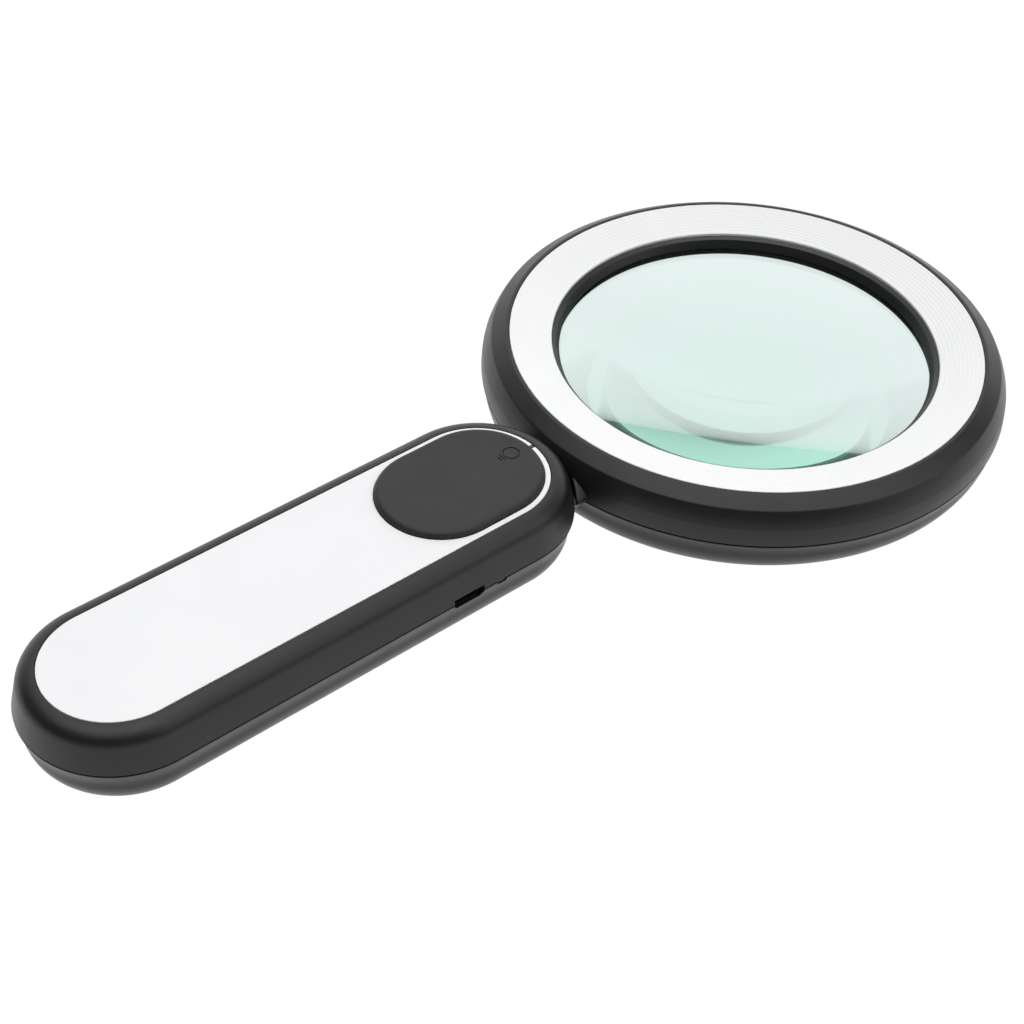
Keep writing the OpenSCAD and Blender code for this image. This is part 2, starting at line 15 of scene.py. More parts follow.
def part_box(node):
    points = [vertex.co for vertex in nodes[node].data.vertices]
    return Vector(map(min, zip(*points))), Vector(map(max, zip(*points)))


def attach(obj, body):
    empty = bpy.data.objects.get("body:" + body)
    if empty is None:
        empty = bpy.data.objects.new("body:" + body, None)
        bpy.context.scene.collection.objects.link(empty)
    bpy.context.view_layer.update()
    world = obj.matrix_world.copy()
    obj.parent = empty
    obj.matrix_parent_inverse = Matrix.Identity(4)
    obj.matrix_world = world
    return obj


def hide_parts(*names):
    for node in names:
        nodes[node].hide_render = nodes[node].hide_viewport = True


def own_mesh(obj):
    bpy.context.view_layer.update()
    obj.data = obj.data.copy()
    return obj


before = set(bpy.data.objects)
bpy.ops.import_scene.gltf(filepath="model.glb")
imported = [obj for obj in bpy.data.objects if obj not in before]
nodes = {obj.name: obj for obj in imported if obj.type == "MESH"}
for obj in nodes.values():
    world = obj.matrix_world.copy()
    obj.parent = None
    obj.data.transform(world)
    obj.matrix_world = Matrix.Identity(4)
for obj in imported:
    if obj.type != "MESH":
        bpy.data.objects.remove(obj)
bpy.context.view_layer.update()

MM = 0.001
BODY = "magnifier"
KEY_BODY = "key"


def node_box(name):
    """A CAD node's lowest and highest corner, in millimetres."""
    low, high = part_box(name)
    return low / MM, high / MM


# ---- Sizes read from the frame, in millimetres ----

plate_low, plate_high = node_box("handle_faceplate")
shell_low, shell_high = node_box("handle_bottom_shell")
rim_low, rim_high = node_box("head_top_shell")
lens_low, lens_high = node_box("lens")
ring_high = node_box("diffuser_ring")[1]
bezel_low, bezel_high = node_box("lens_bezel")
key_low, key_high = node_box("power_key")
usb_low, usb_high = node_box("usb_shell")
window_low, window_high = node_box("charge_window")
pipe_low, pipe_high = node_box("indicator_light_pipe")
gasket_low, gasket_high = node_box("lens_gasket")
pad_low, pad_high = node_box("key_return_pad")

TOP = plate_high.z
PLATE_W = plate_high.y
PLATE_Z = plate_low.z
GRIP_W = shell_high.y
GRIP_SPLIT = shell_high.z
REAR_X = shell_low.x + GRIP_W
HEAD_X = (lens_low.x + lens_high.x) / 2
HEAD_R = rim_high.y
HEAD_SPLIT = rim_low.z
LENS_R = lens_high.y
RING_R = ring_high.y
HEAD_REACH = 78.3      # from the centre of the handle's front round end to the lens axis
FRONT_X = HEAD_X - HEAD_REACH

# ---- Sizes of the finish, in millimetres ----

WALL = 1.8
SEAM = 0.32            # gap between two shells
PLATE_GAP = 0.14       # gap round the faceplate and the ring
SEAM_ROUND = 0.14      # rounding of the edges that meet at a seam
TONGUE_IN = 0.6        # depth of the seam's groove, where a tongue closes it
TONGUE_GAP = 0.01      # gap between the tongue and the upper shell
LAP = 0.02             # overlap of pieces that are joined, and play of pieces that touch
ARC_STEP = 6           # degrees between the points of a rounded corner
SHARP = 35             # edges that turn by more degrees than this stay sharp


# ---- Outlines ----

def rounded(corners):
    """Points of an outline given as (x, z, radius) corners; a radius of 0 is a sharp corner.
    The first and last corners stay sharp."""
    points = [Vector(corners[0][:2])]
    for before, corner, after in zip(corners, corners[1:], corners[2:]):
        here, radius = Vector(corner[:2]), corner[2]
        back = (Vector(before[:2]) - here).normalized()
        ahead = (Vector(after[:2]) - here).normalized()
        half = back.angle(ahead) / 2
        if radius <= 0 or half > math.radians(89.5):
            points.append(here)
            continue
        reach = radius / math.tan(half)
        centre = here + (back + ahead).normalized() * (radius / math.sin(half))
        start, end = here + back * reach - centre, here + ahead * reach - centre
        turn = start.angle_signed(end)
        steps = max(2, round(math.degrees(abs(turn)) / ARC_STEP))
        for i in range(steps + 1):
            points.append(centre + Matrix.Rotation(-turn * i / steps, 2) @ start)
    points.append(Vector(corners[-1][:2]))
    return points


def closed_outline(corners):
    """The same for a closed outline: every corner may be rounded."""
    points = rounded([corners[-1]] + list(corners) + [corners[0]])
    return points[1:-1]


# ---- Meshes ----

def new_object(name, bm, angle=SHARP):
    """A smooth-shaded object from a bmesh in millimetres; edges sharper than angle stay sharp."""
    bmesh.ops.recalc_face_normals(bm, faces=bm.faces)
    bmesh.ops.scale(bm, vec=(MM, MM, MM), verts=bm.verts)
    mesh = bpy.data.meshes.new(name)
    bm.to_mesh(mesh)
    bm.free()
    mesh.shade_smooth()
    mesh.set_sharp_from_angle(angle=math.radians(angle))
    obj = bpy.data.objects.new(name, mesh)
    bpy.context.scene.collection.objects.link(obj)
    return obj


def bridge(bm, loops, wrap):
    """Quads between each loop of vertices and the next; a loop of one vertex is a pole."""
    pairs = list(zip(loops, loops[1:])) + ([(loops[-1], loops[0])] if wrap else [])
    for a, b in pairs:
        count = max(len(a), len(b))
        for i in range(count):
            j = (i + 1) % count
            if len(a) == 1:
                bm.faces.new((a[0], b[i], b[j]))
            elif len(b) == 1:
                bm.faces.new((a[i], b[0], a[j]))
            else:
                bm.faces.new((a[i], b[i], b[j], a[j]))


def bar_loop(x0, x1, r, z, segments, straight):
    """Points of a round-ended bar's outline: half circles of radius r about x0 and x1."""
    points = []
    for i in range(segments + 1):
        a = math.radians(90 + 180 * i / segments)
        points.append((x0 + r * math.cos(a), r * math.sin(a), z))
    for i in range(1, straight):
        points.append((x0 + (x1 - x0) * i / straight, -r, z))
    for i in range(segments + 1):
        a = math.radians(-90 + 180 * i / segments)
        points.append((x1 + r * math.cos(a), r * math.sin(a), z))
    for i in range(1, straight):
        points.append((x1 + (x0 - x1) * i / straight, r, z))
    return points


def sweep(name, outline, x0, x1, segments=72, straight=24):
    """An open outline of (distance from the spine, height) swept round a bar, with its two
    ends closed by flat faces."""
    bm = bmesh.new()
    loops = [[bm.verts.new(p) for p in bar_loop(x0, x1, q[0], q[1], segments, straight)]
             for q in outline]
    bridge(bm, loops, False)
    bm.faces.new(loops[0])
    bm.faces.new(loops[-1])
    return new_object(name, bm)


def lathe(name, outline, x=None, y=0, wrap=True, segments=288, angle=SHARP):
    """An outline of (radius, height) turned about an upright axis, the lens's by default."""
    x = HEAD_X if x is None else x
    bm = bmesh.new()
    loops = []
    for r, z in outline:
        if r < 1e-6:
            loops.append([bm.verts.new((x, y, z))])
            continue
        turns = [2 * math.pi * i / segments for i in range(segments)]
        loops.append([bm.verts.new((x + r * math.cos(a), y + r * math.sin(a), z)) for a in turns])
    bridge(bm, loops, wrap)
    return new_object(name, bm, angle)


def disc(name, x, y, r, z0, z1, segments=48):
    """An upright cylinder."""
    return lathe(name, [(0, z0), (r, z0), (r, z1), (0, z1)], x, y, wrap=False, segments=segments)


def block(name, low, high):
    """A box between two corners."""
    bm = bmesh.new()
    bmesh.ops.create_cube(bm, size=1)
    for v in bm.verts:
        v.co = Vector(low[k] + (v.co[k] + 0.5) * (high[k] - low[k]) for k in range(3))
    return new_object(name, bm)


def combine(obj, other, operation):
    """Applies a boolean with another object, which is then removed."""
    modifier = obj.modifiers.new("combine", "BOOLEAN")
    modifier.operation, modifier.solver, modifier.object = operation, "EXACT", other
    depsgraph = bpy.context.evaluated_depsgraph_get()
    mesh = bpy.data.meshes.new_from_object(obj.evaluated_get(depsgraph))
    mesh.name = obj.name
    obj.modifiers.clear()
    obj.data = mesh
    bpy.data.objects.remove(other)
    obj.data.shade_smooth()
    obj.data.set_sharp_from_angle(angle=math.radians(SHARP))
    return obj


def cut(obj, *others):
    """Cuts other objects out of an object."""
    for other in others:
        combine(obj, other, "DIFFERENCE")
    return obj


def add(obj, *others):
    """Joins other objects to an object."""
    for other in others:
        combine(obj, other, "UNION")
    return obj


# ---- Handle ----

GRIP_BASE_R, GRIP_TOP_R = 7.5, 4.1
GRIP_BASE_W, GRIP_TOP_W = GRIP_W - 1.05, GRIP_W - 1.9
CEILING = PLATE_Z - 1.5
LIP_R = PLATE_W + PLATE_GAP
KEY_FLANGE = 0.85      # how far the key's flange stands out past its cap
KEY_END_R = key_high.y - KEY_FLANGE
KEY_GAP = 0.15         # gap between the key's cap and the faceplate
KEY_X0, KEY_X1 = key_low.x + key_high.y, FRONT_X + 0.1
KEY_X = (KEY_X0 + KEY_X1) / 2
POCKET_Z = pad_low.z
PORT_X = (usb_low.x + usb_high.x) / 2
PORT_Z = (usb_low.z + usb_high.z) / 2
PORT_CHAMFER = 0.9
PORT_PLAY = 0.08       # gap round the receptacle
WINDOW_PLAY = 0.06     # gap round the charge window
INNER_END = 8          # where an open outline of the handle ends on the inside
BED_R, BED_T = 16.4, 1.4   # the floor of the key's pocket
POCKET_PLAY = 0.3      # gap round the key's flange
STEM_HOLE_R = 2.9


def port_cutter():
    """The receptacle's mouth: wide above, with its lower corners cut off."""
    w = (usb_high.x - usb_low.x) / 2 + PORT_PLAY
    h = (usb_high.z - usb_low.z) / 2 + PORT_PLAY
    corners = [(-w, h), (w, h), (w, -h + PORT_CHAMFER), (w - PORT_CHAMFER, -h),
               (-w + PORT_CHAMFER, -h), (-w, -h + PORT_CHAMFER)]
    bm = bmesh.new()
    ends = [[bm.verts.new((PORT_X + x, y, PORT_Z + z)) for x, z in corners]
            for y in (-GRIP_W - 2, usb_high.y + 0.4)]
    bridge(bm, ends, False)
    for end in ends:
        bm.faces.new(end)
    return new_object("port_cutter", bm)


def window_cutter():
    """The charge window's slot, just under the seam."""
    return block("window_cutter",
                 (window_low.x - WINDOW_PLAY, -GRIP_W - 2, window_low.z - WINDOW_PLAY),
                 (window_high.x + WINDOW_PLAY, window_high.y + 0.3, GRIP_SPLIT + 0.05))


def bar(name, r, z0, z1):
    """A solid round-ended bar along the key's spine."""
    inside = INNER_END / 2
    return sweep(name, [(inside, z0), (r, z0), (r, z1), (inside, z1)], KEY_X0, KEY_X1)


def make_top_shell():
    """The handle's upper shell, with the faceplate's seat and the key's pocket."""
    outline = rounded([
        (INNER_END, PLATE_Z, 0), (LIP_R, PLATE_Z, 0), (LIP_R, TOP + LAP, 0.12),
        (GRIP_TOP_W, TOP + LAP, GRIP_TOP_R), (GRIP_W + 0.05, GRIP_SPLIT + SEAM / 2, SEAM_ROUND),
        (GRIP_W - WALL, GRIP_SPLIT + SEAM / 2, 0), (GRIP_TOP_W - WALL, CEILING, GRIP_TOP_R - WALL),
        (INNER_END, CEILING, 0)])
    shell = sweep("handle_top", outline, REAR_X, FRONT_X)
    add(shell, bar("bed", BED_R, POCKET_Z - BED_T, CEILING + 0.2))
    cut(shell, bar("pocket", key_high.y + POCKET_PLAY, POCKET_Z, PLATE_Z + 0.5),
        disc("stem_hole", KEY_X, 0, STEM_HOLE_R, POCKET_Z - 3, POCKET_Z + 1))
    return shell


def make_bottom_shell():
    """The handle's lower shell, with a tongue that closes the seam from inside."""
    outline = rounded([
        (INNER_END, 0, 0), (GRIP_BASE_W, 0, GRIP_BASE_R),
        (GRIP_BASE_W + 0.1, GRIP_BASE_R + 0.7, 8),
        (GRIP_W + 0.02, GRIP_SPLIT - SEAM / 2, SEAM_ROUND),
        (GRIP_W - TONGUE_IN, GRIP_SPLIT - SEAM / 2, 0),
        (GRIP_W - TONGUE_IN, GRIP_SPLIT + SEAM / 2 - TONGUE_GAP, 0),
        (GRIP_W - WALL, GRIP_SPLIT + SEAM / 2 - TONGUE_GAP, 0),
        (GRIP_BASE_W - WALL, WALL, GRIP_BASE_R - WALL), (INNER_END, WALL, 0)])
    return sweep("handle_base", outline, REAR_X, FRONT_X)


# ---- Neck ----

NECK_W = 12.6
NECK_TOP, NECK_BASE = TOP - 4.0, 4.0
NECK_GAP = 0.3         # gap between the neck and the handle's front end
NECK_ROUND = 0.8       # rounding of the crest
NECK_STEPS = 48
NECK_REACH = 0.995     # share of the half width where the crown meets its short side
NECK_IN = 4.5          # how far the neck goes into the head
CROWN_BOW, CROWN_END = 1.5, 0.6    # exponents of the crown's curve
CORE_W = 7.4           # half of the core's width
CORE_TOP, CORE_BASE = NECK_TOP - 3.4, 5.2
CORE_IN_GRIP, CORE_IN_HEAD = 3.2, 4


def neck_height(y, top):
    """Height of the neck's crown, or of its underside, at a distance from the middle."""
    rise = (NECK_TOP if top else NECK_BASE) - GRIP_SPLIT
    return GRIP_SPLIT + rise * (1 - (abs(y) / NECK_W) ** CROWN_BOW) ** CROWN_END


def make_neck(name, top):
    """Half of the neck, above or below the seam, with its crest rounded towards the handle."""
    sign = 1 if top else -1
    seam_z = GRIP_SPLIT + sign * SEAM / 2
    end_x = HEAD_X - HEAD_R + NECK_IN
    bm = bmesh.new()

    def section(shrink, x_of):
        """A closed loop: along the crown, then back along the seam."""
        crown, floor = [], []
        for i in range(NECK_STEPS + 1):
            y = -NECK_W * NECK_REACH * math.cos(math.pi * i / NECK_STEPS)
            ys = y * (NECK_W - shrink) / NECK_W
            z = seam_z + (neck_height(y, top) - seam_z) * (1 - shrink / abs(NECK_TOP - GRIP_SPLIT))
            crown.append(bm.verts.new((x_of(ys), ys, z)))
            floor.append(bm.verts.new((x_of(ys), ys, seam_z)))
        return crown, floor

    start_r = GRIP_W + NECK_GAP
    rows = []
    for a in (math.radians(degrees) for degrees in range(0, 91, 15)):
        shrink = NECK_ROUND * (1 - math.sin(a))
        ahead = NECK_ROUND * (1 - math.cos(a))
        rows.append(section(shrink, lambda y, ahead=ahead: FRONT_X + math.sqrt(
            start_r ** 2 - y ** 2) + ahead))
    rows.append(section(0, lambda y: end_x))
    loops = [crown + floor[::-1] for crown, floor in rows]
    bridge(bm, loops, False)
    for crown, floor in (rows[0], rows[-1]):
        for i in range(NECK_STEPS):
            bm.faces.new((crown[i], crown[i + 1], floor[i + 1], floor[i]))
    return new_object(name, bm)


def neck_core(top):
    """The narrower part that joins the neck to the handle across the gap."""
    z = (GRIP_SPLIT + SEAM / 2, CORE_TOP)
    if not top:
        z = (CORE_BASE, GRIP_SPLIT + SEAM / 2 - TONGUE_GAP)
    return block("neck_core", (FRONT_X + GRIP_W - CORE_IN_GRIP, -CORE_W, z[0]),
                 (HEAD_X - HEAD_R + CORE_IN_HEAD, CORE_W, z[1]))


# ---- Key ----

KEY_TOP = key_high.z
KEY_EDGE_R = 1.25
KEY_BASE = PLATE_Z - 0.2
FLANGE_T = 0.6
STEM_R = 2.5
PAD_INNER_R, PAD_ROUND = 3.35, 0.3
ICON_X = FRONT_X + 8.75
ICON_R = 1.9
ICON_LINE = 0.3
ICON_DEPTH = 0.22
BULB_LINES = (0.95, 0.7)           # half lengths of the two lines beside the bulb
BULB_LINE_GAP, BULB_LINE_PITCH = 0.3, 0.75
DISH_R = 4.7
DISH_DEPTH = 0.14


def make_key():
    """The key: a cap with a shallow dish and a bulb sign, on a flange with a stem below."""
    flange_z = KEY_BASE - FLANGE_T
    outline = rounded([
        (KEY_END_R - 3, KEY_TOP, 0), (KEY_END_R, KEY_TOP, KEY_EDGE_R), (KEY_END_R, KEY_BASE, 0),
        (key_high.y, KEY_BASE, 0), (key_high.y, flange_z, 0), (INNER_END, flange_z, 0)])
    key = sweep("key_cap", outline, KEY_X0, KEY_X1, segments=64, straight=8)
    ball_r = (DISH_R ** 2 + DISH_DEPTH ** 2) / (2 * DISH_DEPTH)
    bowl_r = DISH_R + 0.8
    bowl = [(0, KEY_TOP - DISH_DEPTH)]
    for i in range(1, 9):
        r = bowl_r * i / 8
        bowl.append((r, KEY_TOP - DISH_DEPTH + ball_r - math.sqrt(ball_r ** 2 - r ** 2)))
    bowl += [(bowl_r, KEY_TOP + 1), (0, KEY_TOP + 1)]
    cut(key, lathe("dish", bowl, ICON_X, 0, wrap=False, segments=96))
    floor_z = KEY_TOP - DISH_DEPTH - ICON_DEPTH
    cut(key, lathe("bulb", [(ICON_R - ICON_LINE, floor_z), (ICON_R, floor_z),
                            (ICON_R, KEY_TOP + 1), (ICON_R - ICON_LINE, KEY_TOP + 1)],
                   ICON_X, 0, segments=72))
    for i, half in enumerate(BULB_LINES):
        x = ICON_X - ICON_R - BULB_LINE_GAP - i * BULB_LINE_PITCH
        cut(key, block("bulb_line", (x - ICON_LINE, -half, floor_z), (x, half, KEY_TOP + 1)))
    cut(key, block("pipe_notch", (pipe_low.x - PIPE_GAP, pipe_low.y - PIPE_GAP, flange_z - 1),
                   (pipe_high.x + PIPE_GAP, pipe_high.y + PIPE_GAP, KEY_BASE + LAP)))
    add(key, disc("stem", KEY_X, 0, STEM_R, key_low.z, flange_z + LAP))
    return key


def make_return_pad():
    """The silicone ring under the key's flange."""
    low, high, outer = pad_low.z, pad_high.z - LAP, pad_high.y
    outline = closed_outline([(PAD_INNER_R, low, 0), (outer, low, 0),
                              (outer, high, PAD_ROUND), (PAD_INNER_R, high, PAD_ROUND)])
    return lathe("return_pad", outline, KEY_X, 0, segments=96)


# ---- Faceplate and indicator ----

PIPE_HALF = 0.42       # half of the light pipe's width
PIPE_GAP = 0.1
PLATE_EDGE = 0.16      # rounding of the faceplate's edges


def make_faceplate():
    """A flat bar with a round-ended opening; the edges of both are slightly rounded."""
    edge = PLATE_EDGE
    outer = rounded([(PLATE_W - 1, PLATE_Z, 0), (PLATE_W, PLATE_Z, 0), (PLATE_W, TOP, edge),
                     (PLATE_W - edge * 1.5, TOP, 0)])[1:-1]
    hole_r = KEY_END_R + KEY_GAP
    inner = rounded([(hole_r + 1, PLATE_Z, 0), (hole_r, PLATE_Z, 0), (hole_r, TOP, edge),
                     (hole_r + edge * 1.5, TOP, 0)])[1:-1]
    bm = bmesh.new()

    def band(outline, x0, x1):
        loops = [[bm.verts.new(p) for p in bar_loop(x0, x1, q[0], q[1], 96, 1)] for q in outline]
        bridge(bm, loops, False)
        return loops[0], loops[-1]

    outer_low, outer_high = band(outer, REAR_X, FRONT_X)
    inner_low, inner_high = band(inner, KEY_X0, KEY_X1)
    for a, b in ((outer_low, inner_low), (outer_high, inner_high)):
        rim = set(a) | set(b)
        edges = [e for e in bm.edges if e.verts[0] in rim and e.verts[1] in rim]
        bmesh.ops.triangle_fill(bm, edges=edges, use_beauty=True)
    plate = new_object("faceplate", bm)
    cut(plate, block("pipe_slot", (pipe_low.x - 1, -PIPE_HALF - PIPE_GAP, PLATE_Z - 1),
                     (pipe_high.x + 1, PIPE_HALF + PIPE_GAP, TOP + 1)))
    return plate


def make_light_pipe():
    """The indicator's clear pipe, with a slightly domed top."""
    bm = bmesh.new()
    x, y = (pipe_low.x + pipe_high.x) / 2, 0
    half_x, half_y = (pipe_high.x - pipe_low.x) / 2, PIPE_HALF
    loops = []
    for z, shrink in ((pipe_low.z, 0), (pipe_high.z - 0.12, 0), (pipe_high.z - 0.03, 0.06),
                      (pipe_high.z, 0.2)):
        loops.append([bm.verts.new((x + sx * (half_x - shrink), y + sy * (half_y - shrink), z))
                      for sx, sy in ((-1, -1), (1, -1), (1, 1), (-1, 1))])
    bridge(bm, loops, False)
    bm.faces.new(loops[0])
    bm.faces.new(loops[-1])
    return new_object("light_pipe", bm)


# ---- Head ----

HEAD_BASE_R = 7.5
HEAD_BASE_W = HEAD_R - 0.85
BEVEL = (HEAD_R - 2.14, HEAD_SPLIT + 8)
RIM_R = RING_R + 0.9
RING_INNER_R = bezel_high.y - 3.1
RING_INNER_Z = TOP - 2.15
LEDGE_Z = TOP - 1.8    # where the ring's edge rests
RIM_UNDER_Z = TOP - 3.2
CLEAR_R = 42.2         # the opening in front of and behind the lens
SEAT_Z = gasket_low.z
CLAMP_Z = gasket_high.z
SEAT_R = LENS_R + 0.55
SEAT_WALL = 1.6
FLARE_R, FLARE_Z = RING_INNER_R + 5.8, 0.8


def make_head_top():
    """The head's bevelled rim, down to the seam."""
    flank = [(HEAD_R - 0.12, HEAD_SPLIT + 3.0, 12), (HEAD_R - 0.75, HEAD_SPLIT + 5.4, 12)]
    outline = closed_outline([
        (HEAD_R, HEAD_SPLIT + SEAM / 2, SEAM_ROUND), *flank,
        (*BEVEL, 1.0), (RIM_R, TOP, 0.35), (RING_R + PLATE_GAP, TOP, 0.1),
        (RING_R + PLATE_GAP, LEDGE_Z, 0), (RING_R - 1.2, LEDGE_Z, 0),
        (RING_R - 1.2, RIM_UNDER_Z, 0), (RIM_R - 1, RIM_UNDER_Z, 1),
        (HEAD_R - WALL - 0.6, HEAD_SPLIT + 5, 6), (HEAD_R - WALL, HEAD_SPLIT + SEAM / 2, 0)])
    return lathe("head_rim", outline)


def make_head_bottom():
    """The head's lower shell, with the lens's seat and the flared recess behind it."""
    wall_r = SEAT_R + SEAT_WALL
    outline = closed_outline([
        (FLARE_R + 0.6, 0, 0.3), (HEAD_BASE_W, 0, HEAD_BASE_R),
        (HEAD_BASE_W + 0.1, HEAD_BASE_R + 0.5, 8), (HEAD_R, HEAD_SPLIT - SEAM / 2, SEAM_ROUND),
        (HEAD_R - TONGUE_IN, HEAD_SPLIT - SEAM / 2, 0),
        (HEAD_R - TONGUE_IN, HEAD_SPLIT + SEAM / 2 - TONGUE_GAP, 0),
        (HEAD_R - WALL, HEAD_SPLIT + SEAM / 2 - TONGUE_GAP, 0),
        (HEAD_BASE_W - WALL, WALL, HEAD_BASE_R - WALL), (FLARE_R + 2, WALL, 0.5),
        (CLEAR_R + 2, SEAT_Z - 2.5, 0.5), (wall_r, SEAT_Z - 2, 0), (wall_r, CLAMP_Z, 0.15),
        (SEAT_R, CLAMP_Z, 0.15), (SEAT_R, SEAT_Z, 0), (CLEAR_R, SEAT_Z, 0.15),
        (CLEAR_R, SEAT_Z - 0.6, 0.3), (FLARE_R, FLARE_Z, 0.5)])
    return lathe("head_base", outline)


GROOVES = 9
GROOVE_W, GROOVE_D = 0.36, 0.045    # half width and depth of a groove


def make_ring():
    """The opal ring: a shallow dish with fine grooves."""
    inner_r, inner_z = RING_INNER_R, RING_INNER_Z

    def face_z(r):
        return inner_z + (TOP - inner_z) * (r - inner_r) / (RING_R - inner_r)

    face = []
    pitch = (RING_R - inner_r - 1.4) / GROOVES
    for i in range(GROOVES):
        middle = inner_r + 1.1 + i * pitch
        for k in range(-4, 5):
            r = middle + GROOVE_W * k / 4
            face.append((r, face_z(r) - GROOVE_D * (1 + math.cos(math.pi * k / 4)) / 2))
    top = rounded([(inner_r, inner_z - 0.6, 0), (inner_r, inner_z, 0.22),
                   (face[0][0], face_z(face[0][0]), 0)])[:-1]
    rim = rounded([(face[-1][0], face_z(face[-1][0]), 0), (RING_R, TOP, 0.15),
                   (RING_R, LEDGE_Z, 0)])[1:]
    under = [(RING_R - 1.4, LEDGE_Z), (RING_R - 1.4, TOP - 2.8), (RING_R - 2.6, TOP - 2.8),
             (inner_r + 1.6, inner_z - 1.5)]
    return lathe("ring_light", [*map(tuple, top), *face, *map(tuple, rim), *under], angle=50)


def make_bezel():
    """The black ring between the lens and the opal ring."""
    low, high = bezel_low.z, RING_INNER_Z
    outline = closed_outline([
        (CLEAR_R, low, 0), (CLEAR_R, low + 0.25, 0.15), (CLEAR_R + 0.85, high - 1.15, 0.35),
        (RING_INNER_R - 0.02, high - 0.62, 0.1), (RING_INNER_R + 1.6, high - 1.5, 0),
        (RING_INNER_R + 3.1, high - 1.5, 0), (RING_INNER_R + 3.1, low, 0)])
    return lathe("bezel", outline)


LENS_TOP_CURVE, LENS_BASE_CURVE = 218, 252    # radii of curvature
LENS_RINGS = 72


def make_lens():
    """Two shallow domes of different curvature and a ground edge."""
    steps = [LENS_R * i / LENS_RINGS for i in range(LENS_RINGS + 1)]
    upper = [(r, lens_high.z - LENS_TOP_CURVE + math.sqrt(LENS_TOP_CURVE ** 2 - r ** 2))
             for r in steps]
    lower = [(r, lens_low.z + LENS_BASE_CURVE - math.sqrt(LENS_BASE_CURVE ** 2 - r ** 2))
             for r in steps]
    return lathe("lens_glass", upper + lower[::-1], wrap=False, segments=384)


# ---- Materials ----

def material(name, colour, roughness, **sockets):
    """A Principled material; extra sockets are given by name with _ for a space."""
    made = bpy.data.materials.new(name)
    made.use_nodes = True
    shader = made.node_tree.nodes["Principled BSDF"]
    shader.inputs["Base Color"].default_value = (*colour, 1)
    shader.inputs["Roughness"].default_value = roughness
    for key, value in sockets.items():
        shader.inputs[key.replace("_", " ")].default_value = value
    return made


def noise(made, scale, detail=3, roughness=0.5):
    """A noise texture in object coordinates; scale is in cycles per metre."""
    tree = made.node_tree
    place = tree.nodes.new("ShaderNodeTexCoord")
    texture = tree.nodes.new("ShaderNodeTexNoise")
    texture.inputs["Scale"].default_value = scale
    texture.inputs["Detail"].default_value = detail
    texture.inputs["Roughness"].default_value = roughness
    tree.links.new(place.outputs["Object"], texture.inputs["Vector"])
    return texture


def vary(made, socket, texture, low, high):
    """Drives a socket of the shader from a texture, between two values or two colours."""
    tree = made.node_tree
    shader = tree.nodes["Principled BSDF"]
    if isinstance(low, tuple):
        ramp = tree.nodes.new("ShaderNodeValToRGB")
        ramp.color_ramp.elements[0].position, ramp.color_ramp.elements[1].position = 0.3, 0.7
        ramp.color_ramp.elements[0].color = (*low, 1)
        ramp.color_ramp.elements[1].color = (*high, 1)
        tree.links.new(texture.outputs["Fac"], ramp.inputs["Fac"])
        tree.links.new(ramp.outputs["Color"], shader.inputs[socket])
        return
    spread = tree.nodes.new("ShaderNodeMapRange")
    spread.inputs["From Min"].default_value, spread.inputs["From Max"].default_value = 0.3, 0.7
    spread.inputs["To Min"].default_value, spread.inputs["To Max"].default_value = low, high
    tree.links.new(texture.outputs["Fac"], spread.inputs["Value"])
    tree.links.new(spread.outputs["Result"], shader.inputs[socket])


def bump(made, texture, distance):
    """Relief from a texture, over a height in metres."""
    tree = made.node_tree
    node = tree.nodes.new("ShaderNodeBump")
    node.inputs["Distance"].default_value = distance
    tree.links.new(texture.outputs["Fac"], node.inputs["Height"])
    tree.links.new(node.outputs["Normal"], tree.nodes["Principled BSDF"].inputs["Normal"])


def moulded(name, dark, light, rough, grain=4200, depth=0.00002, **sockets):
    """A moulded plastic: fine grain, faint patches in colour and gloss."""
    made = material(name, dark, rough[0], **sockets)
    patches = noise(made, 60, 4, 0.6)
    vary(made, "Base Color", patches, dark, light)
    vary(made, "Roughness", noise(made, 140, 5, 0.65), *rough)
    bump(made, noise(made, grain, 2, 0.5), depth)
    return made


def metal(name, colour, rough):
    """A bare or plated metal with faint patches in its gloss."""
    made = material(name, colour, rough[0], Metallic=1.0)
    vary(made, "Roughness", noise(made, 900, 4, 0.6), *rough)
    bump(made, noise(made, 2500, 2), 0.00001)
    return made


def glass(name, colour, tint, density, **sockets):
    """Clear glass whose body takes a tint over its depth."""
    made = material(name, colour, 0.0, Transmission_Weight=1.0, IOR=1.52, **sockets)
    tree = made.node_tree
    body = tree.nodes.new("ShaderNodeVolumeAbsorption")
    body.inputs["Color"].default_value = (*tint, 1)
    body.inputs["Density"].default_value = density
    tree.links.new(body.outputs["Volume"], tree.nodes["Material Output"].inputs["Volume"])
    return made


black = moulded("satin_black", (0.008, 0.008, 0.0085), (0.011, 0.011, 0.0115), (0.32, 0.4),
                Specular_IOR_Level=0.42)
key_grey = moulded("matt_grey", (0.018, 0.018, 0.0185), (0.022, 0.022, 0.0225), (0.5, 0.58), 5200,
                   Specular_IOR_Level=0.4)
bezel_black = moulded("bezel_black", (0.012, 0.0125, 0.0125), (0.016, 0.0165, 0.0165), (0.34, 0.4))
white = moulded("faceplate_white", (0.86, 0.865, 0.88), (0.88, 0.885, 0.895), (0.24, 0.26),
                800, 0.000002, Coat_Weight=0.15, Coat_Roughness=0.1)
opal = moulded("opal_white", (0.87, 0.875, 0.885), (0.89, 0.893, 0.9), (0.34, 0.42), 1500,
               0.000005, Subsurface_Weight=0.1, Subsurface_Scale=0.001)
dark_parts = moulded("dark_parts", (0.02, 0.02, 0.02), (0.03, 0.03, 0.03), (0.5, 0.6))
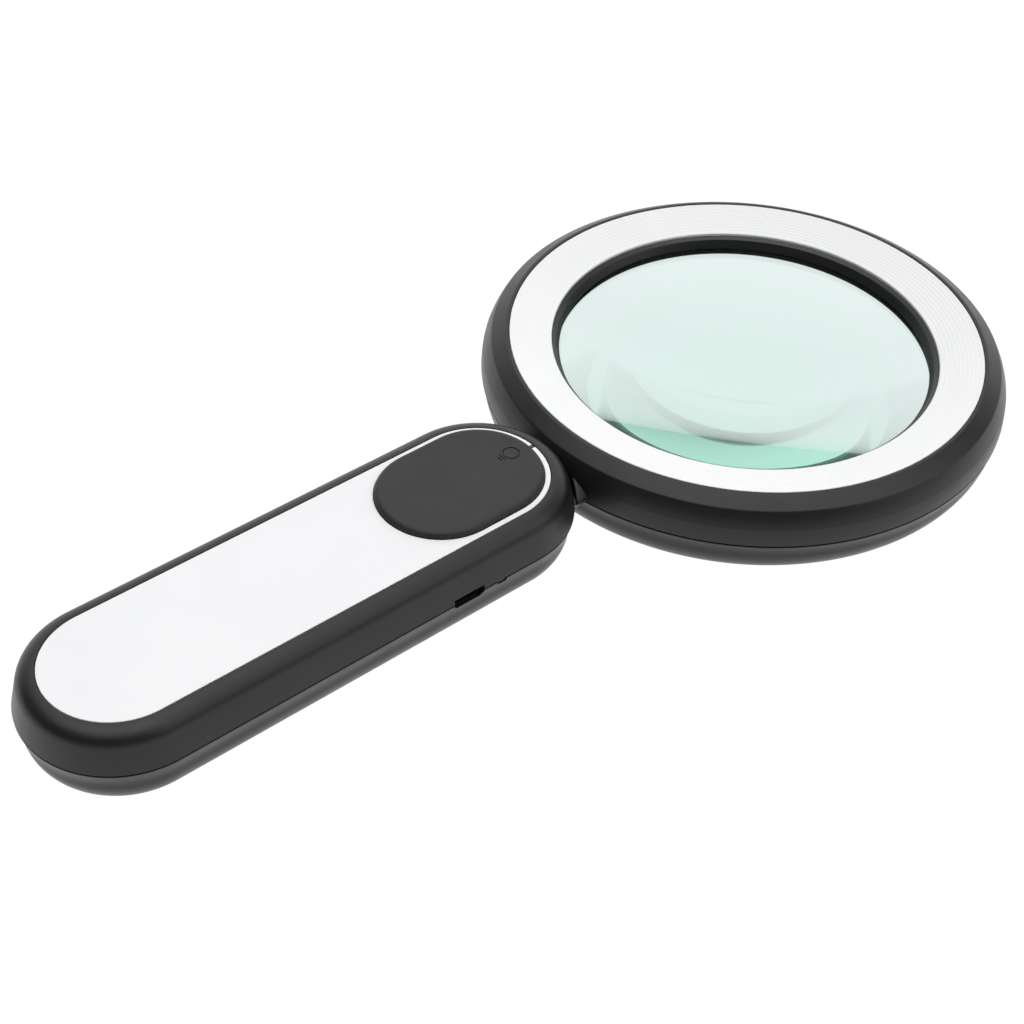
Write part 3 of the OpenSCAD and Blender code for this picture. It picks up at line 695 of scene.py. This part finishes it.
cream = moulded("cream_plastic", (0.62, 0.58, 0.48), (0.68, 0.63, 0.53), (0.4, 0.5))
silicone = moulded("silicone", (0.62, 0.64, 0.62), (0.68, 0.7, 0.68), (0.45, 0.55), 2000,
                   Subsurface_Weight=0.1, Subsurface_Scale=0.001)
phosphor = moulded("phosphor", (0.75, 0.62, 0.12), (0.82, 0.7, 0.2), (0.3, 0.4))
board_green = moulded("board_green", (0.012, 0.11, 0.045), (0.018, 0.14, 0.06), (0.3, 0.4))
board_white = moulded("board_white", (0.72, 0.72, 0.69), (0.78, 0.78, 0.75), (0.35, 0.45))
cell_blue = moulded("cell_wrap", (0.03, 0.11, 0.33), (0.04, 0.14, 0.4), (0.25, 0.32))
lead_red = moulded("lead_cover", (0.35, 0.02, 0.02), (0.42, 0.03, 0.03), (0.4, 0.5))
smoke = moulded("smoked_window", (0.003, 0.003, 0.0033), (0.005, 0.005, 0.0055), (0.25, 0.32),
                Specular_IOR_Level=0.25)
steel = metal("plated_steel", (0.56, 0.56, 0.57), (0.22, 0.36))
port_metal = metal("port_metal", (0.05, 0.05, 0.052), (0.4, 0.5))
clear_pipe = glass("clear_pipe", (1, 1, 1), (0.9, 0.95, 0.95), 5)
lens_glass = glass("lens_glass", (0.80, 0.87, 0.86), (0.42, 0.8, 0.66), 14,
                   Specular_Tint=(0.2, 0.2, 0.2, 1))


# ---- Assembly ----

SCREW_SPAN = 5         # screws of one node are further apart than this
SCREW_HOLE_R = 1.15
HANDLE_RECESS_R, HEAD_RECESS_R = 2.3, 2.1
RECESS_TOP = 3.2


def finish_piece(obj, made, body=BODY, replaces=()):
    """Gives a piece its material, its body and the nodes that it stands for."""
    obj.data.materials.clear()
    obj.data.materials.append(made)
    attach(obj, body)
    if replaces:
        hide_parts(*replaces)
    return obj


def drill_rear(shell, screws, recess_r):
    """Recesses in the rear face for the screws of a CAD node, found from its vertices."""
    points = [v.co / MM for v in nodes[screws].data.vertices]
    middles = []
    for p in points:
        if all((p.xy - m).length > SCREW_SPAN for m in middles):
            middles.append(p.xy.copy())
    for k, m in enumerate(middles):
        near = [p.xy for p in points if (p.xy - m).length < SCREW_SPAN]
        low = Vector((min(q.x for q in near), min(q.y for q in near)))
        high = Vector((max(q.x for q in near), max(q.y for q in near)))
        centre = (low + high) / 2
        cut(shell, disc(f"recess_{k}", centre.x, centre.y, recess_r, -1, RECESS_TOP, 40),
            disc(f"hole_{k}", centre.x, centre.y, SCREW_HOLE_R, RECESS_TOP - 0.2, 12, 24))


handle_top = add(make_top_shell(), neck_core(True), make_neck("neck_top", True))
handle_base = add(make_bottom_shell(), neck_core(False), make_neck("neck_base", False))
cut(handle_top, port_cutter())
cut(handle_base, port_cutter(), window_cutter())
drill_rear(handle_base, "handle_screws", HANDLE_RECESS_R)
finish_piece(handle_top, black, replaces=["handle_top_shell"])
finish_piece(handle_base, black, replaces=["handle_bottom_shell"])

head_rim, head_base = make_head_top(), make_head_bottom()
drill_rear(head_base, "head_screws", HEAD_RECESS_R)
finish_piece(head_rim, black, replaces=["head_top_shell"])
finish_piece(head_base, black, replaces=["head_bottom_shell"])

finish_piece(make_faceplate(), white, replaces=["handle_faceplate"])
finish_piece(make_key(), key_grey, KEY_BODY, replaces=["power_key"])
return_pad = finish_piece(make_return_pad(), silicone, replaces=["key_return_pad"])
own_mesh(return_pad)
finish_piece(make_light_pipe(), clear_pipe, replaces=["indicator_light_pipe"])
finish_piece(make_ring(), opal, replaces=["diffuser_ring"])
finish_piece(make_bezel(), bezel_black, replaces=["lens_bezel"])
finish_piece(make_lens(), lens_glass, replaces=["lens"])

NODE_MATERIALS = {
    "handle_screws": steel, "switch_body": dark_parts,
    "switch_plunger": cream, "indicator_led": phosphor, "control_board": board_green,
    "board_components": dark_parts, "board_screws": steel, "usb_shell": port_metal,
    "usb_tongue": dark_parts, "charge_window": smoke, "charge_led": phosphor,
    "battery_cell": cell_blue, "battery_tabs": steel, "battery_cradle": dark_parts,
    "battery_leads": lead_red, "neck_bracket": steel, "bracket_screws": steel,
    "led_leads": lead_red, "head_screws": steel, "lens_gasket": silicone,
    "led_board": board_white, "leds": phosphor, "led_board_screws": steel,
}
for name, made in NODE_MATERIALS.items():
    mesh = nodes[name].data
    mesh.materials.clear()
    mesh.materials.append(made)

# ---- Stage, light and camera ----

FLOOR_HALF = 6.0        # metres from the middle of the floor to its edges
FLOOR_Z = -0.05         # millimetres
SKY_DIM = 0.06
SKY_PATCHES = (         # direction, cosines where it starts and is full, strength
    ((-0.02, 0.05, 1.0), 0.64, 1.00, 2.15),
    ((0.64, 0.73, -0.20), 0.25, 0.75, 1.15),
    ((0.50, -0.72, 0.60), 0.82, 1.00, 1.4),
)


def make_floor():
    """A white studio floor that glows evenly, as one lit from all round does."""
    bm = bmesh.new()
    bm.faces.new([bm.verts.new((x * FLOOR_HALF / MM, y * FLOOR_HALF / MM, FLOOR_Z))
                  for x, y in ((-1, -1), (1, -1), (1, 1), (-1, 1))])
    floor = new_object("floor", bm)
    made = material("floor_white", (0.02, 0.02, 0.02), 0.9, Emission_Strength=1.0)
    made.node_tree.nodes["Principled BSDF"].inputs["Emission Color"].default_value = (1, 1, 1, 1)
    floor.data.materials.append(made)


def make_world():
    """A dim sky with wide patches of light that fade smoothly, like large soft boxes."""
    world = bpy.data.worlds.new("studio")
    world.use_nodes = True
    tree = world.node_tree
    place = tree.nodes.new("ShaderNodeTexCoord")
    total = None
    for axis, start, full, strength in SKY_PATCHES:
        along = tree.nodes.new("ShaderNodeVectorMath")
        along.operation = "DOT_PRODUCT"
        along.inputs[1].default_value = Vector(axis).normalized()
        level = tree.nodes.new("ShaderNodeMapRange")
        level.interpolation_type = "SMOOTHSTEP"
        level.inputs["From Min"].default_value = start
        level.inputs["From Max"].default_value = full
        level.inputs["To Max"].default_value = strength
        tree.links.new(place.outputs["Generated"], along.inputs[0])
        tree.links.new(along.outputs["Value"], level.inputs["Value"])
        both = tree.nodes.new("ShaderNodeMath")
        both.operation = "ADD"
        both.inputs[1].default_value = SKY_DIM
        tree.links.new(level.outputs["Result"], both.inputs[0])
        if total is not None:
            tree.links.new(total, both.inputs[1])
        total = both.outputs["Value"]
    background = tree.nodes["Background"]
    background.inputs["Color"].default_value = (1, 1, 1, 1)
    tree.links.new(total, background.inputs["Strength"])
    bpy.context.scene.world = world


CAMERA_AZIMUTH, CAMERA_ELEVATION, CAMERA_ROLL = -41.54, 42.03, 2.43
CAMERA_DISTANCE = 0.41144
CAMERA_TARGET = Vector((HEAD_X * MM - 0.07299, -0.00496, 0.010))
CAMERA_LENS = 68.716


def make_camera():
    """The camera, turned about the object and rolled about its own axis."""
    azimuth, elevation = math.radians(CAMERA_AZIMUTH), math.radians(CAMERA_ELEVATION)
    back = Vector((math.sin(azimuth) * math.cos(elevation),
                   -math.cos(azimuth) * math.cos(elevation), math.sin(elevation)))
    data = bpy.data.cameras.new("camera")
    data.lens, data.sensor_width = CAMERA_LENS, 36
    camera = bpy.data.objects.new("camera", data)
    camera.rotation_mode = "QUATERNION"
    upright = (-back).to_track_quat("-Z", "Y").to_matrix()
    roll = Matrix.Rotation(math.radians(CAMERA_ROLL), 3, back)
    camera.rotation_quaternion = (roll @ upright).to_quaternion()
    camera.location = CAMERA_TARGET + back * CAMERA_DISTANCE
    bpy.context.scene.collection.objects.link(camera)
    bpy.context.scene.camera = camera


make_floor()
make_world()
make_camera()
bpy.context.scene.view_settings.view_transform = "Standard"
# light that crosses the lens from edge to edge reflects inside it many times
bpy.context.scene.cycles.glossy_bounces = 16
bpy.context.scene.cycles.max_bounces = 24
